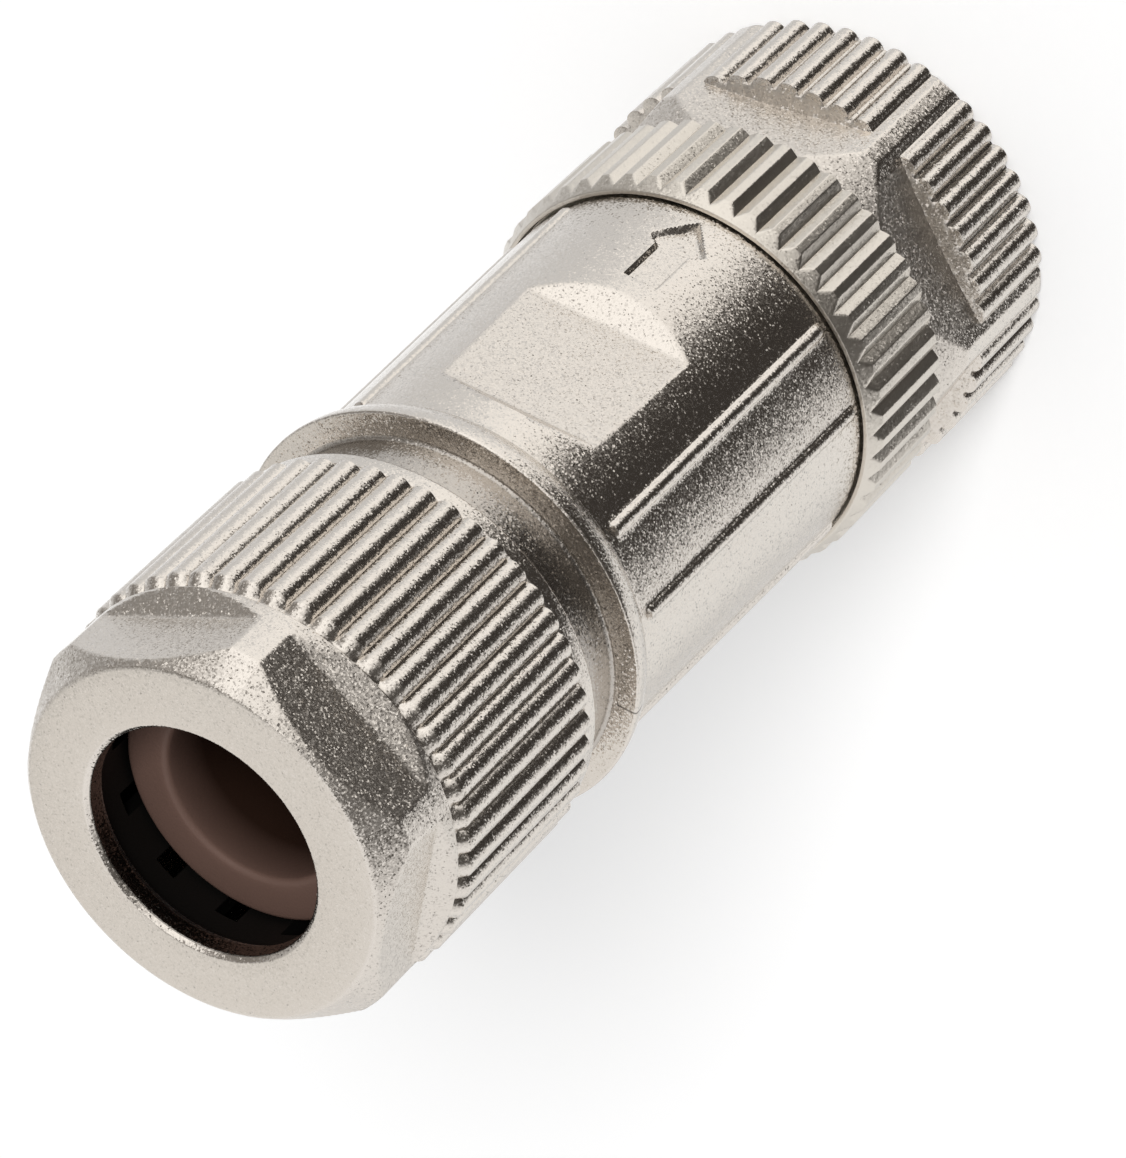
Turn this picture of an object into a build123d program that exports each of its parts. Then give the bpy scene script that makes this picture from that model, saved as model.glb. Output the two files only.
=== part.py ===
from build123d import *

import os

# Female circular connector with a screw coupling, for wiring in the field.
# It stands on the front rim of its coupling nut at z = 0, with the cable gland on top.
# Lengths are in millimetres. Angles are in degrees about the axis, counted from the front (-Y).

# Lengths along the axis, from the mating end up
coupling_length = 9.65
turning_gap = 0.15
knurl_length = 6.1
barrel_length = 20.7
tightening_gap = 2.9
gland_length = 15.6

# Clearances: running fits, seats, end play and rubber rings in their grooves
turn_clearance = 0.1
seat_clearance = 0.05
end_clearance = 0.1
ring_fit = 0.01

# Cutters run this far past what they cut
overcut = 1.0
cutter_reach = 2.0
cutter_width = 18.0

# Insert: nose, flange and terminal block
insert_nose_radius = 4.15
insert_face_depth = 0.8
insert_edge = 0.3
insert_flange_radius = 5.7
insert_flange_length = 5.9
terminal_radius = 6.9
terminal_length = 13.0
key_width = 1.7
key_depth = 0.9

# Socket contacts and terminal screws
contact_count = 4
contact_circle = 2.5
contact_setback = 0.6
contact_bore = 0.52
contact_entry = contact_bore + 0.1
contact_bore_depth = 6.5
wire_hole = 0.75
wire_hole_depth = 6.5
contact_radius = wire_hole + 0.35
contact_recess = 0.7
screw_radius = 0.7
screw_length = 2.7
screw_slot_width = 0.3
screw_slot_depth = 0.4
screw_from_rear = 2.9
screw_seat = contact_circle + contact_radius - 0.15
screw_pad = 2 * screw_radius + 0.2
screw_window = screw_pad + 0.4

# Knurled shell that carries the insert and the coupling nut
shell_nose_radius = insert_flange_radius + 1.5
shell_nose_length = 3.2
flange_setback = 0.5
spigot_radius = terminal_radius + 0.8
spigot_length = 5.1
rim_recess = 1.0
rim_wall = 0.2

# Split ring that holds the coupling nut on the shell
ring_section = 0.7
ring_inner = shell_nose_radius - 0.65
ring_outer = shell_nose_radius + 0.8
ring_gap = 3.2
ring_setback = 0.55

# Rings of rubber
mating_ring_section = 0.5
mating_ring_groove = 0.3
housing_ring_section = 0.38
ring_sides = 6

# Clamping cage, washer and seal under the gland nut
seal_bore = 4.25
seal_radius = seal_bore + 2.05
seal_length = 6.7
seal_setback = 3.9
cage_bore = seal_radius + seat_clearance
cage_finger_radius = cage_bore + 0.95
cage_ring_radius = cage_finger_radius + 0.4
cage_ring_length = 1.7
cage_finger_length = 6.2
cage_fingers = 12
cage_slot = 1.1
washer_thickness = 0.25
washer_bore = cage_bore - 0.6

# Sleeve housing: barrel over the spigot, collar, neck and gland thread
sleeve_bore = spigot_radius + turn_clearance
ring_pocket_radius = spigot_radius + ring_fit + 2 * housing_ring_section + seat_clearance
barrel_radius_front = ring_pocket_radius + 1.03
barrel_radius_rear = barrel_radius_front - 0.3
collar_radius = barrel_radius_rear + 0.81
collar_length = 1.9
collar_shoulder = 0.9
gland_bore = cage_finger_radius + turn_clearance
gland_bore_depth = 7.1
gland_mouth = 0.35
gland_mouth_depth = 0.6
gland_thread_radius = gland_bore + 1.32
gland_thread_length = 9.1
shoulder_bore = 5.2
shoulder_length = 2.1
flat_distance = barrel_radius_front - 1.09
flat_length = 7.45
flat_from_rear = 4.8
flat_ramp = 1.35
arrow_gap = 0.72
arrow_length = 5.07
arrow_head = 1.8
arrow_barb = 0.52
arrow_half_width = 1.37
arrow_stem = 0.8
arrow_depth = 0.27
bead_height = 0.24
bead_width = 0.56
bead_crest = 0.2
bead_angles = (44, 69.5, 110.5, 136)

# Spacer and shield rings between the insert and the gland
spacer_wall = 1.3
shield_ring_bore = 4.6
shield_ring_thickness = 0.9
shield_cup_height = 2.2
shield_cup_wall = 0.7

# Knurled ring of the shell, just outside the barrel
knurl_radius = barrel_radius_front + 0.75
knurl_teeth = 50
knurl_groove_depth = 0.46
knurl_groove_width = 0.8
knurl_chamfer = 0.55
knurl_turn = -28.4

# Coupling nut: flats just inside the knurled ring, pads and ribs on them
coupling_flat = knurl_radius - 0.8
coupling_radius = coupling_flat + 1.05
coupling_chamfer = 2.15
coupling_turn = 9.1
pad_length = 6.0
pad_root = coupling_flat + 0.6
pad_slope = 0.45
pad_ribs = 7
pad_pitch = 7.5
pad_rib_width = 0.86
pad_rib_crest = 0.4
thread_bore = insert_nose_radius + 1.31
thread_depth = 5.6

# Gland nut
cage_chamber = cage_ring_radius + 0.15
cage_chamber_end = 6.5
gland_wall = 1.0
gland_flat = cage_chamber + 0.9
gland_face_radius = gland_flat - 0.25
gland_chamfer = 1.35
gland_turn = 28.6
gland_flat_length = 3.6
gland_ramp = 0.83
gland_root = gland_thread_radius + 0.73
gland_corner_radius = gland_root + 0.27
gland_land_length = 4.45
gland_rib_start = 4.99
gland_rib_slope = 0.46
gland_rib_end = 14.6
gland_rib_height = 0.55
gland_rib_width = 0.9
gland_rib_crest = 0.42
gland_rib_count = 48
gland_rib_turn = 4.6
gland_end_radius = gland_root + 0.25
gland_bore_radius = gland_face_radius - 2.95

# Heights that follow from the lengths
shell_front = coupling_length + turning_gap
shell_rear = shell_front + knurl_length
collar_rear = shell_rear + barrel_length
gland_front = collar_rear + tightening_gap
top = gland_front + gland_length
sleeve_front = shell_rear - rim_recess + end_clearance
spigot_end = shell_rear + spigot_length
nose_front = shell_front - shell_nose_length
flange_front = nose_front + flange_setback
terminal_front = flange_front + insert_flange_length
terminal_rear = terminal_front + terminal_length
thread_rear = collar_rear + gland_thread_length


def turned(angle):
    """Angle from +X of a direction that is counted from the front."""
    return angle - 90


def flat_cutter(distance, low, high, low_ramp=0.0, high_ramp=0.0):
    """Solid that cuts a flat into a round body. A ramp is the run of that end for each mm outward."""
    with BuildPart() as cutter:
        with BuildSketch(Plane.XZ.offset(-cutter_width / 2)):
            with BuildLine():
                Polyline(
                    (distance, low),
                    (distance, high),
                    (distance + cutter_reach, high + high_ramp * cutter_reach),
                    (distance + cutter_reach, low - low_ramp * cutter_reach),
                    close=True,
                )
            make_face()
        extrude(amount=cutter_width)
    return cutter.part


def ring(inner, outer, low, height):
    """Plain turned ring."""
    with BuildPart() as turned_ring:
        with BuildSketch(Plane.XY.offset(low)):
            Circle(outer)
            Circle(inner, mode=Mode.SUBTRACT)
        extrude(amount=height)
    return turned_ring.part


def grip_rib(root, height, width, crest, low, high, slope):
    """One rib along the axis at +X: a trapezoid as wide as width at the root, with a sloping upper end."""
    sunk = root - height
    foot = 2 * width - crest
    with BuildPart() as rib:
        with BuildSketch(Plane.XZ.offset(-foot / 2)):
            with BuildLine():
                Polyline(
                    (sunk, low),
                    (root + height, low),
                    (root + height, high - slope),
                    (sunk, high + slope),
                    close=True,
                )
            make_face()
        extrude(amount=foot)
        with BuildSketch(Plane.XY.offset(low)):
            Polygon(
                (sunk, -foot / 2),
                (root + height, -crest / 2),
                (root + height, crest / 2),
                (sunk, foot / 2),
                align=None,
            )
        extrude(amount=high + slope - low, mode=Mode.INTERSECT)
    return rib.part


def rubber_ring(inner, section, height):
    """Ring of rubber at a height, with a many-sided section."""
    with BuildPart() as turned_ring:
        with BuildSketch(Plane.XZ):
            with Locations((inner + section, height)):
                RegularPolygon(section, ring_sides, rotation=360 / ring_sides / 2)
        revolve(axis=Axis.Z)
    return turned_ring.part


# Coupling nut: hexagon with a ribbed grip pad on each flat, thread bore in front and ring groove behind
ring_groove_low = nose_front + ring_setback - end_clearance / 2
ring_groove_high = ring_groove_low + ring_section + end_clearance

pad_rib = grip_rib(
    pad_root,
    coupling_radius - pad_root,
    pad_rib_width,
    pad_rib_crest,
    0,
    pad_length,
    pad_slope,
)

with BuildPart() as coupling_nut:
    with BuildSketch(Plane.XZ):
        with BuildLine():
            Polyline(
                (0, 0),
                (coupling_radius, 0),
                (coupling_radius, coupling_length - coupling_chamfer),
                (coupling_flat, coupling_length),
                (0, coupling_length),
                close=True,
            )
        make_face()
    revolve(axis=Axis.Z)
    with PolarLocations(0, 6, start_angle=turned(coupling_turn)):
        add(
            flat_cutter(coupling_flat, -overcut, coupling_length + overcut),
            mode=Mode.SUBTRACT,
        )
    with BuildSketch(Plane.XZ):
        with BuildLine():
            Polyline(
                (0, 0),
                (pad_root, 0),
                (pad_root, pad_length - pad_slope / 2),
                (pad_root - 2 * pad_slope, pad_length + pad_slope / 2),
                (0, pad_length + pad_slope / 2),
                close=True,
            )
        make_face()
    revolve(axis=Axis.Z)
    for flat in range(6):
        first_rib = coupling_turn + 60 * flat - pad_pitch * (pad_ribs - 1) / 2
        with PolarLocations(0, pad_ribs, turned(first_rib), pad_pitch * (pad_ribs - 1), endpoint=True):
            add(pad_rib)
    with BuildSketch(Plane.XZ):
        with BuildLine():
            Polyline(
                (0, 0),
                (thread_bore, 0),
                (thread_bore, thread_depth),
                (ring_outer + turn_clearance, thread_depth),
                (ring_outer + turn_clearance, ring_groove_high),
                (shell_nose_radius + turn_clearance, ring_groove_high),
                (shell_nose_radius + turn_clearance, coupling_length),
                (0, coupling_length),
                close=True,
            )
        make_face()
    revolve(axis=Axis.Z, mode=Mode.SUBTRACT)

# Split ring: snapped into the shell's groove and the nut's groove
with BuildPart() as retaining_ring:
    with BuildSketch(Plane.XY.offset(nose_front + ring_setback)):
        Circle(ring_outer)
        Circle(ring_inner, mode=Mode.SUBTRACT)
        with Locations((ring_outer, 0)):
            Rectangle(ring_outer, ring_gap, mode=Mode.SUBTRACT)
    extrude(amount=ring_section)

# Knurled shell: knurled ring, nose for the coupling nut in front, threaded spigot behind
ring_groove_floor = ring_inner - seat_clearance
recess_floor = shell_rear - rim_recess
recess_outer = barrel_radius_front + turn_clearance

with BuildPart() as knurled_shell:
    with BuildSketch(Plane.XZ):
        with BuildLine():
            Polyline(
                (insert_flange_radius + seat_clearance, nose_front),
                (shell_nose_radius, nose_front),
                (shell_nose_radius, ring_groove_low),
                (ring_groove_floor, ring_groove_low),
                (ring_groove_floor, ring_groove_high),
                (shell_nose_radius, ring_groove_high),
                (shell_nose_radius, shell_front),
                (knurl_radius, shell_front),
                (knurl_radius, shell_rear - knurl_chamfer),
                (recess_outer + rim_wall, shell_rear),
                (recess_outer, shell_rear),
                (recess_outer, recess_floor),
                (spigot_radius, recess_floor),
                (spigot_radius, spigot_end),
                (terminal_radius + seat_clearance, spigot_end),
                (terminal_radius + seat_clearance, terminal_front),
                (insert_flange_radius + seat_clearance, terminal_front),
                close=True,
            )
        make_face()
    revolve(axis=Axis.Z)
    with BuildSketch(Plane.XY.offset(shell_front - overcut)):
        with PolarLocations(0, knurl_teeth, start_angle=turned(knurl_turn)):
            Polygon(
                (knurl_radius - knurl_groove_depth, 0),
                (knurl_radius + knurl_groove_depth, knurl_groove_width),
                (knurl_radius + knurl_groove_depth, -knurl_groove_width),
                align=None,
            )
    extrude(amount=knurl_length + 2 * overcut, mode=Mode.SUBTRACT)

# Insert: nose with a coding slot, flange against the shell's lip, terminal block with screw windows
contact_angles = [turned(45 + 90 * n) for n in range(contact_count)]
contact_front = insert_face_depth + contact_setback
contact_rear = terminal_rear - contact_recess
screw_height = terminal_rear - screw_from_rear
nose_wall_end = flange_front - 2 * mating_ring_section - end_clearance

with BuildPart() as contact_insert:
    with BuildSketch(Plane.XZ):
        with BuildLine():
            Polyline(
                (0, insert_face_depth),
                (insert_nose_radius - insert_edge, insert_face_depth),
                (insert_nose_radius, insert_face_depth + insert_edge),
                (insert_nose_radius, nose_wall_end),
                (insert_nose_radius - mating_ring_groove, nose_wall_end),
                (insert_nose_radius - mating_ring_groove, flange_front),
                (insert_flange_radius, flange_front),
                (insert_flange_radius, terminal_front),
                (terminal_radius, terminal_front),
                (terminal_radius, terminal_rear),
                (0, terminal_rear),
                close=True,
            )
        make_face()
    revolve(axis=Axis.Z)
    with BuildSketch(Plane.XY.offset(insert_face_depth)):
        with PolarLocations(insert_nose_radius, 1, start_angle=turned(0)):
            Rectangle(2 * key_depth, key_width)
    extrude(amount=nose_wall_end - insert_face_depth, mode=Mode.SUBTRACT)
    with BuildSketch(Plane.XY.offset(insert_face_depth)):
        with PolarLocations(contact_circle, contact_count, start_angle=contact_angles[0]):
            Circle(contact_entry)
    extrude(amount=contact_setback, mode=Mode.SUBTRACT)
    with BuildSketch(Plane.XY.offset(contact_front)):
        with PolarLocations(contact_circle, contact_count, start_angle=contact_angles[0]):
            Circle(contact_radius + seat_clearance / 2)
    extrude(amount=terminal_rear - contact_front, mode=Mode.SUBTRACT)
    for angle in contact_angles:
        window_plane = Plane(
            origin=Vector(contact_circle, 0, 0).rotate(Axis.Z, angle) + Vector(0, 0, screw_height),
            z_dir=Vector(1, 0, 0).rotate(Axis.Z, angle),
        )
        with BuildSketch(window_plane):
            Rectangle(screw_window, screw_window)
        extrude(amount=terminal_radius, mode=Mode.SUBTRACT)

# Socket contacts and their terminal screws
socket_contacts = []
terminal_screws = []
for number, angle in enumerate(contact_angles, start=1):
    outward = Vector(1, 0, 0).rotate(Axis.Z, angle)
    centre = outward * contact_circle
    screw_plane = Plane(origin=outward * screw_seat + Vector(0, 0, screw_height), z_dir=outward)
    with BuildPart() as contact:
        with BuildSketch(Plane(origin=centre + Vector(0, 0, contact_front))):
            Circle(contact_radius)
        extrude(amount=contact_rear - contact_front)
        with BuildSketch(Plane(origin=centre + Vector(0, 0, contact_front))):
            Circle(contact_bore)
        extrude(amount=contact_bore_depth, mode=Mode.SUBTRACT)
        with BuildSketch(Plane(origin=centre + Vector(0, 0, contact_rear))):
            Circle(wire_hole)
        extrude(amount=-wire_hole_depth, mode=Mode.SUBTRACT)
        with BuildSketch(screw_plane):
            Rectangle(screw_pad, screw_pad)
        extrude(amount=contact_radius, mode=Mode.SUBTRACT)
    contact.part.label = f"socket_contact_{number}"
    socket_contacts.append(contact.part)

    with BuildPart() as screw:
        with BuildSketch(screw_plane):
            Circle(screw_radius)
        extrude(amount=screw_length)
        with BuildSketch(screw_plane.offset(screw_length)):
            Rectangle(2 * screw_radius + overcut, screw_slot_width)
        extrude(amount=-screw_slot_depth, mode=Mode.SUBTRACT)
    screw.part.label = f"terminal_screw_{number}"
    terminal_screws.append(screw.part)

# Rubber rings: one on the insert's nose, one at the foot of the shell's spigot
ring_pocket_depth = 2 * housing_ring_section + end_clearance
mating_o_ring = rubber_ring(
    insert_nose_radius - mating_ring_groove + ring_fit,
    mating_ring_section,
    flange_front - mating_ring_section,
)
housing_o_ring = rubber_ring(
    spigot_radius + ring_fit,
    housing_ring_section,
    sleeve_front + ring_pocket_depth / 2,
)

# Sleeve housing: cast barrel with collar, neck and gland thread, two wrench flats, an arrow and eight beads
gland_bore_floor = thread_rear - gland_bore_depth
chamber_end = gland_bore_floor - shoulder_length
flat_high = collar_rear - flat_from_rear
flat_low = flat_high - flat_length
barrel_front = shell_rear + end_clearance
barrel_end = collar_rear - collar_length

with BuildPart() as sleeve_housing:
    with BuildSketch(Plane.XZ):
        with BuildLine():
            Polyline(
                (ring_pocket_radius, sleeve_front),
                (barrel_radius_front, sleeve_front),
                (barrel_radius_front, barrel_front),
                (barrel_radius_rear, barrel_end),
                (collar_radius, barrel_end + collar_shoulder),
                (collar_radius, collar_rear),
                (gland_thread_radius, collar_rear),
                (gland_thread_radius, thread_rear),
                (gland_bore + gland_mouth, thread_rear),
                (gland_bore, thread_rear - gland_mouth_depth),
                (gland_bore, gland_bore_floor),
                (shoulder_bore, gland_bore_floor),
                (shoulder_bore, chamber_end),
                (sleeve_bore, chamber_end),
                (sleeve_bore, sleeve_front + ring_pocket_depth),
                (ring_pocket_radius, sleeve_front + ring_pocket_depth),
                close=True,
            )
        make_face()
    revolve(axis=Axis.Z)
    with PolarLocations(0, 2, start_angle=turned(0)):
        add(
            flat_cutter(flat_distance, flat_low, flat_high, flat_ramp, flat_ramp),
            mode=Mode.SUBTRACT,
        )
    arrow_plane = Plane(
        origin=(0, -(barrel_radius_front - arrow_depth), shell_rear + arrow_gap),
        x_dir=(1, 0, 0),
        z_dir=(0, -1, 0),
    )
    with BuildSketch(arrow_plane):
        with BuildLine():
            Polyline(
                (0, 0),
                (arrow_half_width, arrow_head),
                (arrow_stem, arrow_head + arrow_barb),
                (arrow_stem, arrow_length),
                (-arrow_stem, arrow_length),
                (-arrow_stem, arrow_head + arrow_barb),
                (-arrow_half_width, arrow_head),
                close=True,
            )
        make_face()
    extrude(amount=arrow_depth + overcut, mode=Mode.SUBTRACT)
    for angle in bead_angles + tuple(-angle for angle in bead_angles):
        outward = Vector(1, 0, 0).rotate(Axis.Z, turned(angle))
        bead_foot = outward * barrel_radius_front + Vector(0, 0, barrel_front)
        bead_head = outward * barrel_radius_rear + Vector(0, 0, barrel_end)
        bead_plane = Plane(origin=bead_foot, x_dir=outward, z_dir=bead_head - bead_foot)
        with BuildSketch(bead_plane):
            Polygon(
                (-bead_height, -bead_width / 2),
                (0, -bead_width / 2),
                (bead_height, -bead_crest / 2),
                (bead_height, bead_crest / 2),
                (0, bead_width / 2),
                (-bead_height, bead_width / 2),
                align=None,
            )
        extrude(amount=(bead_head - bead_foot).length)

# Spacer tube and the pair of shield rings
spacer_sleeve = ring(
    sleeve_bore - seat_clearance - spacer_wall,
    sleeve_bore - seat_clearance,
    terminal_rear + seat_clearance,
    chamber_end - terminal_rear - 2 * seat_clearance,
)

shield_radius = gland_bore - seat_clearance
with BuildPart() as shield_cup:
    with BuildSketch(Plane.XZ):
        with BuildLine():
            Polyline(
                (shield_ring_bore, gland_bore_floor),
                (shield_radius, gland_bore_floor),
                (shield_radius, gland_bore_floor + shield_cup_height),
                (shield_radius - shield_cup_wall, gland_bore_floor + shield_cup_height),
                (shield_ring_bore + shield_cup_wall, gland_bore_floor + shield_cup_wall),
                (shield_ring_bore, gland_bore_floor + shield_cup_wall),
                close=True,
            )
        make_face()
    revolve(axis=Axis.Z)

shield_ring = ring(
    shield_ring_bore,
    shield_radius,
    gland_bore_floor + shield_cup_height + seat_clearance,
    shield_ring_thickness,
)

# Gland nut: hexagon at the cable end, ribbed grip below it
rib_high = top - gland_rib_start
rib_low = top - gland_rib_end

gland_rib = grip_rib(
    gland_root,
    gland_rib_height,
    gland_rib_width,
    gland_rib_crest,
    rib_low,
    rib_high,
    gland_rib_slope,
)

with BuildPart() as gland_nut:
    with BuildSketch(Plane.XZ):
        with BuildLine():
            Polyline(
                (0, top),
                (gland_face_radius, top),
                (gland_corner_radius, top - gland_chamfer),
                (gland_corner_radius, top - gland_land_length),
                (gland_root, top - gland_land_length),
                (gland_root, rib_low),
                (gland_end_radius, rib_low),
                (gland_end_radius, gland_front),
                (0, gland_front),
                close=True,
            )
        make_face()
    revolve(axis=Axis.Z)
    with PolarLocations(0, 6, start_angle=turned(gland_turn)):
        add(
            flat_cutter(gland_flat, top - gland_flat_length, top + overcut, low_ramp=gland_ramp),
            mode=Mode.SUBTRACT,
        )
    with PolarLocations(0, gland_rib_count, start_angle=turned(gland_rib_turn)):
        add(gland_rib)
    with BuildSketch(Plane.XZ):
        with BuildLine():
            Polyline(
                (0, top),
                (gland_bore_radius, top),
                (gland_bore_radius, top - gland_wall),
                (cage_chamber, top - gland_wall),
                (cage_chamber, top - cage_chamber_end),
                (gland_thread_radius + turn_clearance, top - cage_chamber_end),
                (gland_thread_radius + turn_clearance, gland_front),
                (0, gland_front),
                close=True,
            )
        make_face()
    revolve(axis=Axis.Z, mode=Mode.SUBTRACT)

# Thrust washer, clamping cage and seal
washer_high = top - gland_wall - seat_clearance
thrust_washer = ring(washer_bore, cage_ring_radius, washer_high - washer_thickness, washer_thickness)

cage_high = washer_high - washer_thickness
cage_ring_low = cage_high - cage_ring_length
cage_low = cage_ring_low - cage_finger_length
with BuildPart() as clamping_cage:
    with BuildSketch(Plane.XZ):
        with BuildLine():
            Polyline(
                (cage_bore, cage_low),
                (cage_finger_radius, cage_low),
                (cage_finger_radius, cage_ring_low),
                (cage_ring_radius, cage_ring_low),
                (cage_ring_radius, cage_high),
                (cage_bore, cage_high),
                close=True,
            )
        make_face()
    revolve(axis=Axis.Z)
    with BuildSketch(Plane.XY.offset(cage_low)):
        with PolarLocations(cage_finger_radius, cage_fingers):
            Rectangle(2 * (cage_finger_radius - cage_bore) + overcut, cage_slot)
    extrude(amount=cage_finger_length, mode=Mode.SUBTRACT)

gland_seal = ring(seal_bore, seal_radius, top - seal_setback - seal_length, seal_length)

# Write every piece
pieces = {
    "coupling_nut": coupling_nut.part,
    "retaining_ring": retaining_ring.part,
    "knurled_shell": knurled_shell.part,
    "contact_insert": contact_insert.part,
    "mating_o_ring": mating_o_ring,
    "housing_o_ring": housing_o_ring,
    "sleeve_housing": sleeve_housing.part,
    "spacer_sleeve": spacer_sleeve,
    "shield_cup": shield_cup.part,
    "shield_ring": shield_ring,
    "gland_nut": gland_nut.part,
    "thrust_washer": thrust_washer,
    "clamping_cage": clamping_cage.part,
    "gland_seal": gland_seal,
}
for contact in socket_contacts:
    pieces[contact.label] = contact
for screw in terminal_screws:
    pieces[screw.label] = screw

os.makedirs("parts", exist_ok=True)
for name, piece in pieces.items():
    piece.label = name
    export_step(piece, f"parts/{name}.step")
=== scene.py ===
from math import acos, ceil, cos, pi, radians, sin, tan

import bpy
from mathutils import Matrix, Vector


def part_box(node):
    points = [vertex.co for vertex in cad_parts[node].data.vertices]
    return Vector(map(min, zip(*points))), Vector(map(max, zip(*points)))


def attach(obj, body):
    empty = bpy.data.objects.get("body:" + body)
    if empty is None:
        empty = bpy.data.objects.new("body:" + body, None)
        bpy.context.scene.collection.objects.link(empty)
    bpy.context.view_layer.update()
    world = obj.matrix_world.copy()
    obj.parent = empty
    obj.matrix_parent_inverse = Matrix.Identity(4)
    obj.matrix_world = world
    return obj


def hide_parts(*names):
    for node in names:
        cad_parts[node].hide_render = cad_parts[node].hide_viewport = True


# Circular cable connector. Heights and radii are in millimetres until a mesh is made.
mm = 0.001

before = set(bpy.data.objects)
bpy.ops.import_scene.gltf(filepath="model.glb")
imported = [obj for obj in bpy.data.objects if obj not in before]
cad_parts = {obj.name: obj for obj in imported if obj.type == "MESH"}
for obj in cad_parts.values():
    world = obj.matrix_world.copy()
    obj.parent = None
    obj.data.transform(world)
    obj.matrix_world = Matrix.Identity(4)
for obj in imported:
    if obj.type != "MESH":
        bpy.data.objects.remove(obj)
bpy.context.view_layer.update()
print("frame loaded")


# A node tree written as expressions: Wire is one socket, Tree adds nodes
class Wire:
    def __init__(self, tree, socket):
        self.tree = tree
        self.socket = socket

    def math(self, operation, *others):
        return self.tree.add("ShaderNodeMath", {"operation": operation}, [self, *others])

    def __add__(self, other):
        return self.math("ADD", other)

    def __mul__(self, other):
        return self.math("MULTIPLY", other)

    def __sub__(self, other):
        return self.math("SUBTRACT", other)

    def __rsub__(self, other):
        return self.tree.add("ShaderNodeMath", {"operation": "SUBTRACT"}, [other, self])

    def __truediv__(self, other):
        return self.math("DIVIDE", other)

    def __rtruediv__(self, other):
        return self.tree.add("ShaderNodeMath", {"operation": "DIVIDE"}, [other, self])

    def __gt__(self, other):
        return self.math("GREATER_THAN", other)

    def __lt__(self, other):
        return self.math("LESS_THAN", other)

    __radd__ = __add__
    __rmul__ = __mul__

    def clip(self):
        return self.math("MAXIMUM", 0.0).math("MINIMUM", 1.0)


class Tree:
    def __init__(self, nodeTree):
        self.nodeTree = nodeTree

    def add(self, kind, settings=None, values=(), output=0):
        node = self.nodeTree.nodes.new(kind)
        for name, value in (settings or {}).items():
            if name == "stops":
                self.setStops(node.color_ramp, value)
            else:
                setattr(node, name, value)
        pairs = values.items() if isinstance(values, dict) else enumerate(values)
        for key, value in pairs:
            if isinstance(value, Wire):
                self.nodeTree.links.new(value.socket, node.inputs[key])
            else:
                node.inputs[key].default_value = value
        return Wire(self, node.outputs[output])

    def setStops(self, ramp, stops):
        while len(ramp.elements) < len(stops):
            ramp.elements.new(0.5)
        for element, (place, colour) in zip(ramp.elements, stops):
            element.position = place
            element.color = (*colour, 1)

    def split(self, vector):
        first = self.add("ShaderNodeSeparateXYZ", values=[vector])
        return [Wire(self, output) for output in first.socket.node.outputs]

    def close(self, kind, label, wire):
        leave = self.nodeTree.nodes.new(kind)
        self.nodeTree.links.new(wire.socket, leave.inputs[label])


# Geometry Nodes: each tree moves the points of a turned piece in or out along their radius
def radialTree(name, sizes, shape):
    group = bpy.data.node_groups.new(name, "GeometryNodeTree")
    group.interface.new_socket("Geometry", in_out="INPUT", socket_type="NodeSocketGeometry")
    group.interface.new_socket("Material", in_out="INPUT", socket_type="NodeSocketMaterial")
    for label in sizes:
        group.interface.new_socket(label, in_out="INPUT", socket_type="NodeSocketFloat")
    group.interface.new_socket("Geometry", in_out="OUTPUT", socket_type="NodeSocketGeometry")
    tree = Tree(group)
    entry = group.nodes.new("NodeGroupInput")
    size = {label: Wire(tree, entry.outputs[label]) for label in sizes}
    x, y, z = tree.split(tree.add("GeometryNodeInputPosition"))
    radius = (x * x + y * y).math("SQRT")
    share = shape(size, radius, y.math("ARCTAN2", x), x, y, z) / radius
    place = tree.add("ShaderNodeCombineXYZ", values=[x * share, y * share, z])
    moved = tree.add(
        "GeometryNodeSetPosition",
        values={"Geometry": Wire(tree, entry.outputs["Geometry"]), "Position": place},
    )
    real = tree.add("GeometryNodeRealizeInstances", values={"Geometry": moved})
    painted = tree.add(
        "GeometryNodeSetMaterial",
        values={"Geometry": real, "Material": Wire(tree, entry.outputs["Material"])},
    )
    tree.close("NodeGroupOutput", "Geometry", painted)
    return group


noEnd = 1.0  # metres, past either end of any piece
allRound = 4  # radians, more than half a turn to either side
leastCosine = 0.2  # how far round its middle a flat is followed


def fromNearest(angle, count, turn):
    # angle from the nearest of count equal directions, the first of which is at turn
    half = pi / count
    return (angle - turn).math("WRAP", half, 0.0 - half)


def beyond(value, limit):
    return (value - limit).math("MAXIMUM", 0.0)


def cutFlats(size, radius, angle, x, y, z):
    ramps = beyond(z, size["High"]) / size["High ramp"] + beyond(size["Low"], z) / size["Low ramp"]
    across = fromNearest(angle, size["Count"], size["Turn"]).math("COSINE")
    flat = (size["Distance"] + ramps) / across.math("MAXIMUM", leastCosine)
    return radius.math("SMOOTH_MIN", flat, size["Rounding"])


def raiseRibs(size, radius, angle, x, y, z):
    off = fromNearest(angle, size["Count"], size["Turn"])
    centre = size["Centre"] + z * size["Taper"]
    side = off.math("SINE") * centre
    bulge = (size["Radius"] * size["Radius"] - side * side).math("MAXIMUM", 0.0).math("SQRT")
    crest = off.math("COSINE") * centre + bulge
    fall = beyond(z, size["High"]) * size["High slope"] + beyond(size["Low"], z) * size["Low slope"]
    pad = fromNearest(angle, size["Pads"], size["Turn"]).math("ABSOLUTE") < size["Pad half"]
    outer = (radius > size["From radius"]) * pad
    raised = radius.math("SMOOTH_MAX", (crest - fall).math("MINIMUM", size["Limit"]), size["Rounding"])
    return radius + (raised - radius) * outer


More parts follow.
